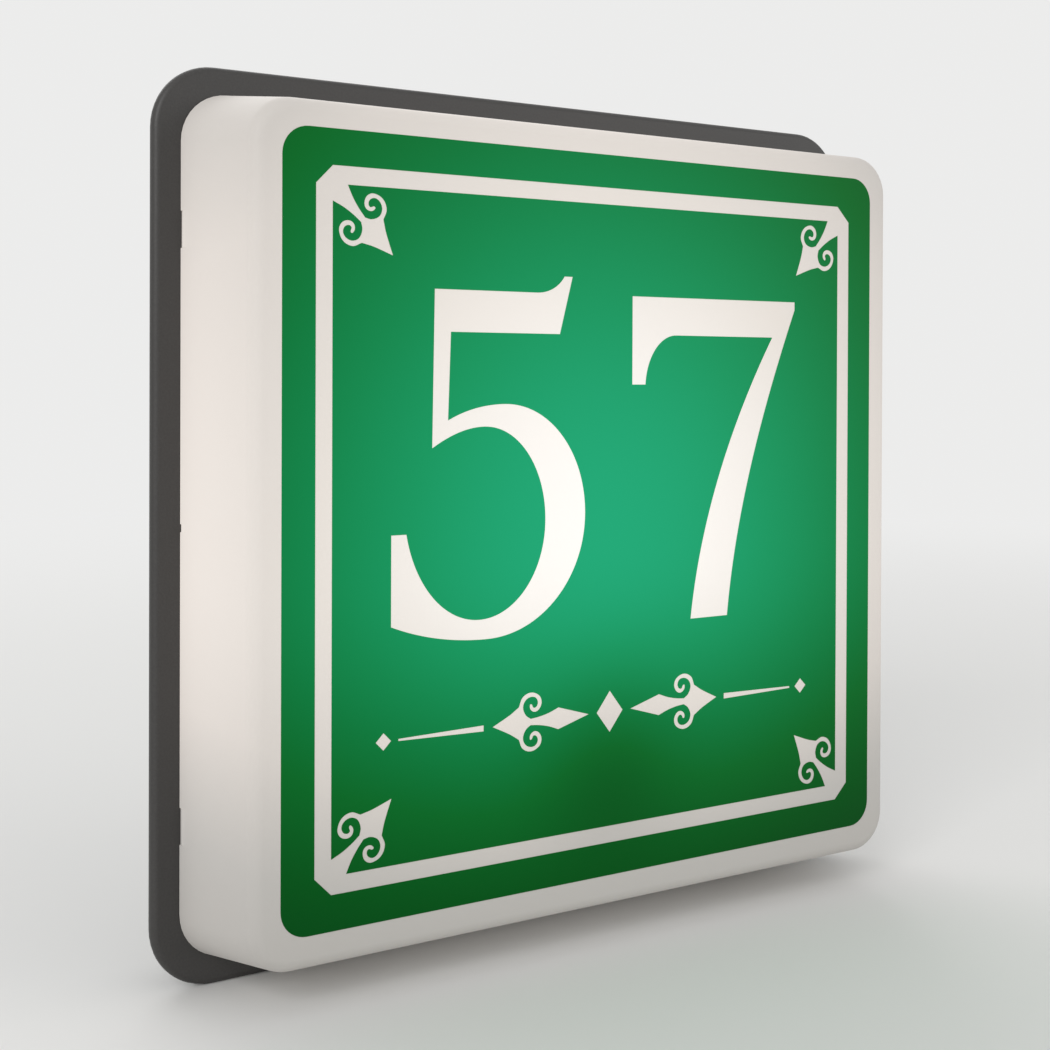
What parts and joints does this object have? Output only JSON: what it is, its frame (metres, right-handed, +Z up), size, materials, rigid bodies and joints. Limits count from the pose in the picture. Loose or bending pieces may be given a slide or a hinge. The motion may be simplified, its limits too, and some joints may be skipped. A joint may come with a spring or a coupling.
{
  "type": "illuminated house number sign",
  "caption": "Square wall-mounted light box whose opal cover carries a green film with cut-out numerals, lit by a lensed LED board.",
  "frame": {"origin": "centre of the four wall-fixing slots, in the plane of the tray's back (the wall)", "axes": "+Z up on the wall, +Y into the wall, +X to the right as the sign is read, so the sign faces -Y"},
  "size_m": [0.299, 0.0733, 0.299],
  "materials": {
    "dark_tray": "satin dark grey moulding",
    "foam": "closed-cell foam",
    "washer_rubber": "matt",
    "grommet_rubber": "matt",
    "spring_steel": "bright spring steel",
    "block_plastic": "natural polyamide",
    "brass": "turned",
    "zinc_screw": "zinc plated",
    "driver_plastic": "fine texture",
    "driver_circuit": "lacquered",
    "brown_wire": "insulation",
    "blue_wire": "insulation",
    "red_wire": "insulation",
    "black_wire": "insulation",
    "white_enamel": "white enamel",
    "board_white": "white solder mask",
    "phosphor": "phosphor under clear resin",
    "clear_lens": "clear moulded",
    "connector_white": "moulded",
    "opal_white": "opal, satin",
    "green_film": "translucent vinyl"
  },
  "bodies": {
    "tray": {"base_tray": "dark_tray", "wall_gasket": "foam", "fixing_washers": "washer_rubber", "cable_grommet": "grommet_rubber", "cover_seal": "foam", "cover_clips": "spring_steel", "terminal_block": "block_plastic", "terminal_sleeves": "brass", "terminal_screws": "zinc_screw", "terminal_block_screws": "zinc_screw", "driver_case": "driver_plastic", "driver_lid": "driver_plastic", "driver_board": "driver_circuit", "driver_screws": "zinc_screw", "live_wire": "brown_wire", "neutral_wire": "blue_wire", "led_lead_red": "red_wire", "led_lead_black": "black_wire", "gear_plate": "white_enamel", "plate_screws": "zinc_screw", "plate_grommet": "grommet_rubber", "led_board": "board_white", "led_chips": "phosphor", "led_lenses": "clear_lens", "led_connector": "connector_white", "board_screws": "zinc_screw"},
    "cover": {"opal_cover": "opal_white", "film_border": "green_film", "film_panel": "green_film"}
  },
  "joints": [
    {"name": "cover_pull_off", "type": "slide", "parent": "tray", "child": "cover", "axis": [0, -1, 0], "range_m": [0, 0.08], "deforming": ["cover_clips"]}
  ]
}
